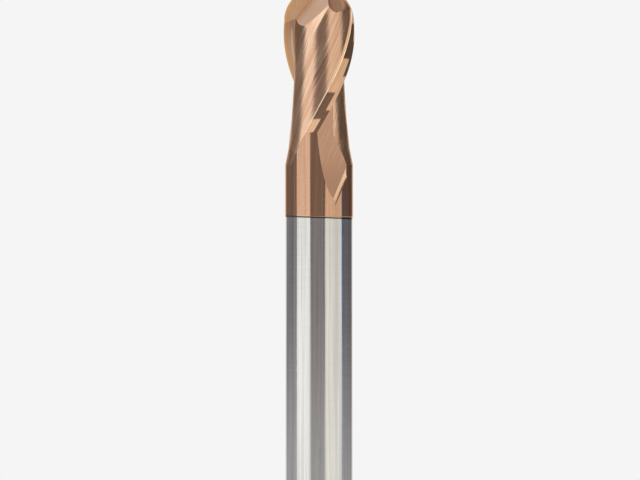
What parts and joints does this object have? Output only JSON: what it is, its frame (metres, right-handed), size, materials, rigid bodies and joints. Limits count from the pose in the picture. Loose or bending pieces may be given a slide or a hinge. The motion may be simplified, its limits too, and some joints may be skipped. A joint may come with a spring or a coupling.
{
  "type": "ball nose end mill",
  "caption": "Solid carbide ball nose end mill with helical flutes, a copper-coloured coated cutting end and a bare cylindrical shank.",
  "frame": {"origin": "centre of the shank's end face", "axes": "+Z along the tool's axis from the shank to the ball nose; -Y is the side that faces the viewer"},
  "size_m": [0.0062, 0.0062, 0.057],
  "materials": {
    "ground_carbide": "bright ground tungsten carbide",
    "hard_coating": "copper-coloured hard coating over ground flutes"
  },
  "bodies": {
    "root": {"carbide_body": "ground_carbide", "coating": "hard_coating"}
  },
  "joints": []
}
